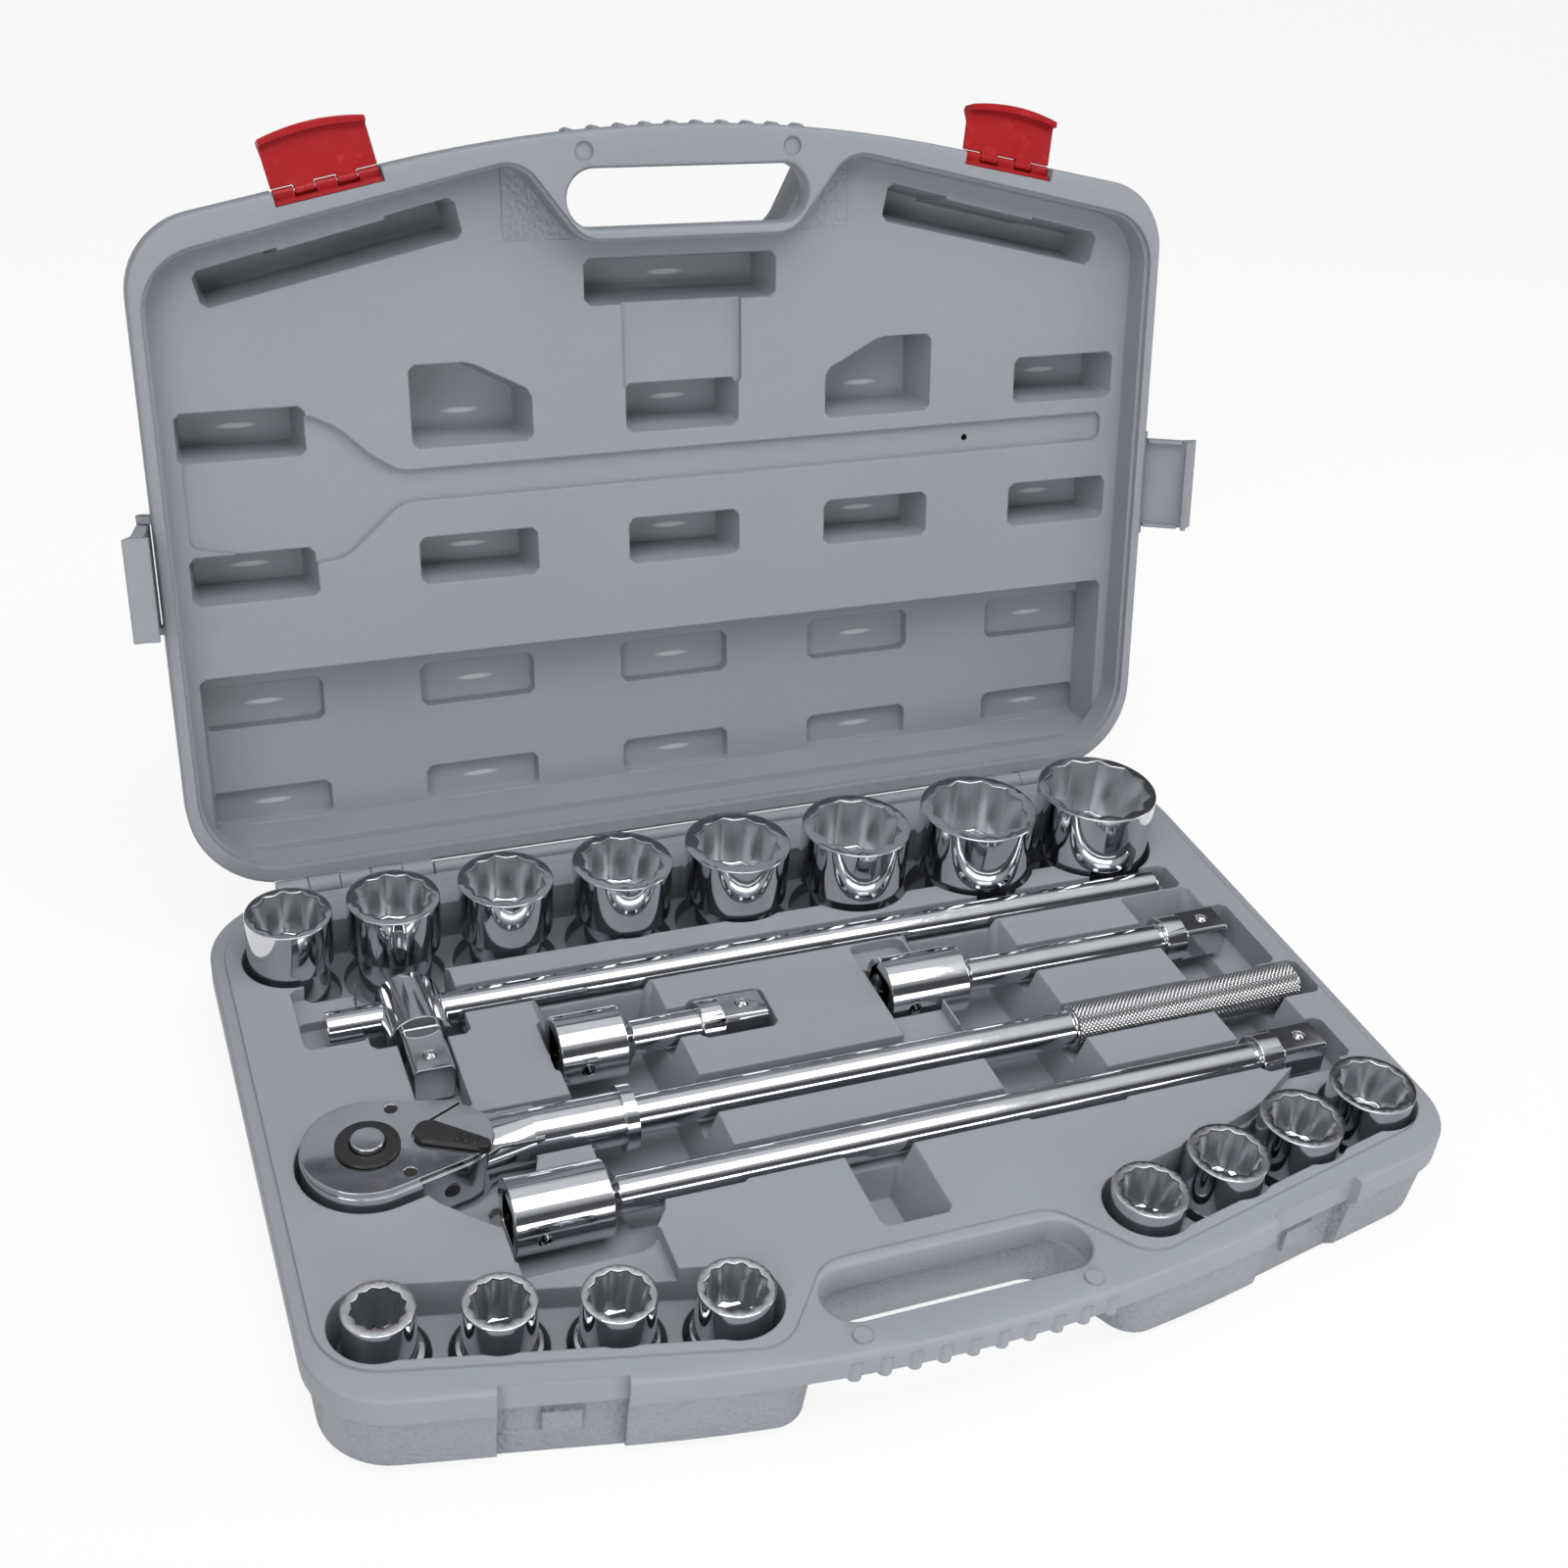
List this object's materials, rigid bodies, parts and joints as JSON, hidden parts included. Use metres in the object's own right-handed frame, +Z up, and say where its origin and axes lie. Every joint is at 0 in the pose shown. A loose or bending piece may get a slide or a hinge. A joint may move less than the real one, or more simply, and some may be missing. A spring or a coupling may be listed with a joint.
{
  "type": "socket wrench set in case",
  "caption": "Drive socket set in a moulded hinged case: reversible ratchet, sliding T-bar, extensions and twelve-point sockets, each lifting out of its own tray pocket.",
  "frame": {"origin": "centre of the base's underside, on the surface the case lies on", "axes": "+X along the hinge to the viewer's right, +Y to the hinge side, +Z up"},
  "size_m": [0.5801, 0.4884, 0.4126],
  "materials": {
    "case_grey": "satin blow-moulded plastic",
    "latch_red": "moulded plastic",
    "chrome": "polished chrome plate",
    "steel": "bright steel",
    "black": "black oxide or plastic"
  },
  "bodies": {
    "base": {"case_base": "case_grey", "hinge_pins": "steel"},
    "lid": {"case_lid": "case_grey", "latch_leaf_left": "latch_red", "latch_leaf_right": "latch_red", "latch_pins": "steel", "clip_pins": "steel"},
    "latch_left": {"latch_flap_left": "latch_red"},
    "latch_right": {"latch_flap_right": "latch_red"},
    "clip_left": {"side_clip_left": "case_grey"},
    "clip_right": {"side_clip_right": "case_grey"},
    "socket_19": {"socket_19mm": "chrome"},
    "socket_21": {"socket_21mm": "chrome"},
    "socket_22": {"socket_22mm": "chrome"},
    "socket_23": {"socket_23mm": "chrome"},
    "socket_24": {"socket_24mm": "chrome"},
    "socket_26": {"socket_26mm": "chrome"},
    "socket_27": {"socket_27mm": "chrome"},
    "socket_29": {"socket_29mm": "chrome"},
    "socket_30": {"socket_30mm": "chrome"},
    "socket_32": {"socket_32mm": "chrome"},
    "socket_34": {"socket_34mm": "chrome"},
    "socket_36": {"socket_36mm": "chrome"},
    "socket_38": {"socket_38mm": "chrome"},
    "socket_41": {"socket_41mm": "chrome"},
    "socket_46": {"socket_46mm": "chrome"},
    "socket_50": {"socket_50mm": "chrome"},
    "tbar": {"tbar_head": "chrome"},
    "tbar_bar": {"tbar_rod": "chrome"},
    "tbar_detent": {"tbar_ball": "steel"},
    "short_extension": {"short_extension": "chrome"},
    "short_detent": {"short_extension_ball": "steel"},
    "medium_extension": {"medium_extension": "chrome"},
    "medium_detent": {"medium_extension_ball": "steel"},
    "long_extension": {"long_extension": "chrome"},
    "long_detent": {"long_extension_ball": "steel"},
    "ratchet": {"ratchet_body": "chrome", "ratchet_handle": "chrome", "ratchet_cover": "chrome", "cover_screws": "steel", "neck_plug": "black"},
    "drive": {"drive_gear": "steel", "drive_ring": "black", "release_spring": "steel"},
    "button": {"release_button": "steel"},
    "drive_detent": {"drive_ball": "steel"},
    "lever": {"reversing_lever": "black"},
    "pawl": {"ratchet_pawl": "steel"}
  },
  "joints": [
    {"name": "lid_hinge", "type": "hinge", "parent": "base", "child": "lid", "pos_m": [0, 0.1835, 0.048], "axis": [-1, 0, 0], "range_deg": [-102, 0]},
    {"name": "latch_left_hinge", "type": "hinge", "parent": "lid", "child": "latch_left", "pos_m": [-0.17362, 0.26199, 0.38359], "axis": [-0.9799, -0.0415, -0.195], "range_deg": [-100, 0]},
    {"name": "latch_right_hinge", "type": "hinge", "parent": "lid", "child": "latch_right", "pos_m": [0.17362, 0.26199, 0.38359], "axis": [-0.9799, 0.0415, 0.195], "range_deg": [-100, 0]},
    {"name": "clip_left_hinge", "type": "hinge", "parent": "lid", "child": "clip_left", "pos_m": [-0.2706, 0.22919, 0.21004], "axis": [0, -0.2079, -0.9781], "range_deg": [-12, 98]},
    {"name": "clip_right_hinge", "type": "hinge", "parent": "lid", "child": "clip_right", "pos_m": [0.2706, 0.22919, 0.21004], "axis": [0, 0.2079, 0.9781], "range_deg": [-52, 58]},
    {"name": "socket_19_lift", "type": "slide", "parent": "base", "child": "socket_19", "axis": [0, 0, 1], "range_m": [0, 0.09]},
    {"name": "socket_21_lift", "type": "slide", "parent": "base", "child": "socket_21", "axis": [0, 0, 1], "range_m": [0, 0.09]},
    {"name": "socket_22_lift", "type": "slide", "parent": "base", "child": "socket_22", "axis": [0, 0, 1], "range_m": [0, 0.09]},
    {"name": "socket_23_lift", "type": "slide", "parent": "base", "child": "socket_23", "axis": [0, 0, 1], "range_m": [0, 0.09]},
    {"name": "socket_24_lift", "type": "slide", "parent": "base", "child": "socket_24", "axis": [0, 0, 1], "range_m": [0, 0.09]},
    {"name": "socket_26_lift", "type": "slide", "parent": "base", "child": "socket_26", "axis": [0, 0, 1], "range_m": [0, 0.09]},
    {"name": "socket_27_lift", "type": "slide", "parent": "base", "child": "socket_27", "axis": [0, 0, 1], "range_m": [0, 0.09]},
    {"name": "socket_29_lift", "type": "slide", "parent": "base", "child": "socket_29", "axis": [0, 0, 1], "range_m": [0, 0.09]},
    {"name": "socket_30_lift", "type": "slide", "parent": "base", "child": "socket_30", "axis": [0, 0, 1], "range_m": [0, 0.09]},
    {"name": "socket_32_lift", "type": "slide", "parent": "base", "child": "socket_32", "axis": [0, 0, 1], "range_m": [0, 0.09]},
    {"name": "socket_34_lift", "type": "slide", "parent": "base", "child": "socket_34", "axis": [0, 0, 1], "range_m": [0, 0.09]},
    {"name": "socket_36_lift", "type": "slide", "parent": "base", "child": "socket_36", "axis": [0, 0, 1], "range_m": [0, 0.09]},
    {"name": "socket_38_lift", "type": "slide", "parent": "base", "child": "socket_38", "axis": [0, 0, 1], "range_m": [0, 0.09]},
    {"name": "socket_41_lift", "type": "slide", "parent": "base", "child": "socket_41", "axis": [0, 0, 1], "range_m": [0, 0.09]},
    {"name": "socket_46_lift", "type": "slide", "parent": "base", "child": "socket_46", "axis": [0, 0, 1], "range_m": [0, 0.09]},
    {"name": "socket_50_lift", "type": "slide", "parent": "base", "child": "socket_50", "axis": [0, 0, 1], "range_m": [0, 0.09]},
    {"name": "tbar_lift", "type": "slide", "parent": "base", "child": "tbar", "axis": [0, 0, 1], "range_m": [0, 0.09]},
    {"name": "tbar_slide", "type": "slide", "parent": "tbar", "child": "tbar_bar", "axis": [1, 0, 0], "range_m": [-0.01, 0.008]},
    {"name": "tbar_ball_press", "type": "slide", "parent": "tbar", "child": "tbar_detent", "axis": [0, 0, 1], "range_m": [-0.0013, 0], "stiffness_N_per_m": 400},
    {"name": "short_extension_lift", "type": "slide", "parent": "base", "child": "short_extension", "axis": [0, 0, 1], "range_m": [0, 0.09]},
    {"name": "short_ball_press", "type": "slide", "parent": "short_extension", "child": "short_detent", "axis": [0, 0, 1], "range_m": [-0.0013, 0], "stiffness_N_per_m": 400},
    {"name": "medium_extension_lift", "type": "slide", "parent": "base", "child": "medium_extension", "axis": [0, 0, 1], "range_m": [0, 0.09]},
    {"name": "medium_ball_press", "type": "slide", "parent": "medium_extension", "child": "medium_detent", "axis": [0, 0, 1], "range_m": [-0.0013, 0], "stiffness_N_per_m": 400},
    {"name": "long_extension_lift", "type": "slide", "parent": "base", "child": "long_extension", "axis": [0, 0, 1], "range_m": [0, 0.09]},
    {"name": "long_ball_press", "type": "slide", "parent": "long_extension", "child": "long_detent", "axis": [0, 0, 1], "range_m": [-0.0013, 0], "stiffness_N_per_m": 400},
    {"name": "ratchet_lift", "type": "slide", "parent": "base", "child": "ratchet", "axis": [0, 0, 1], "range_m": [0, 0.09]},
    {"name": "drive_spin", "type": "hinge", "parent": "ratchet", "child": "drive", "pos_m": [-0.2215, -0.0215, 0.048], "axis": [0, 0, 1], "continuous": true},
    {"name": "button_press", "type": "slide", "parent": "drive", "child": "button", "axis": [0, 0, 1], "range_m": [-0.003, 0], "stiffness_N_per_m": 1500},
    {"name": "drive_ball_press", "type": "slide", "parent": "drive", "child": "drive_detent", "axis": [0, -1, 0], "range_m": [-0.0013, 0], "stiffness_N_per_m": 400},
    {"name": "lever_swing", "type": "hinge", "parent": "ratchet", "child": "lever", "pos_m": [-0.195, -0.0215, 0.048], "axis": [0, 0, 1], "range_deg": [0, 68]},
    {"name": "pawl_rock", "type": "hinge", "parent": "ratchet", "child": "pawl", "pos_m": [-0.195, -0.0215, 0.048], "axis": [0, 0, 1], "range_deg": [0, 8]}
  ],
  "couplings": [
    {"joint": "pawl_rock", "follows": "lever_swing", "ratio": 0.11765}
  ]
}
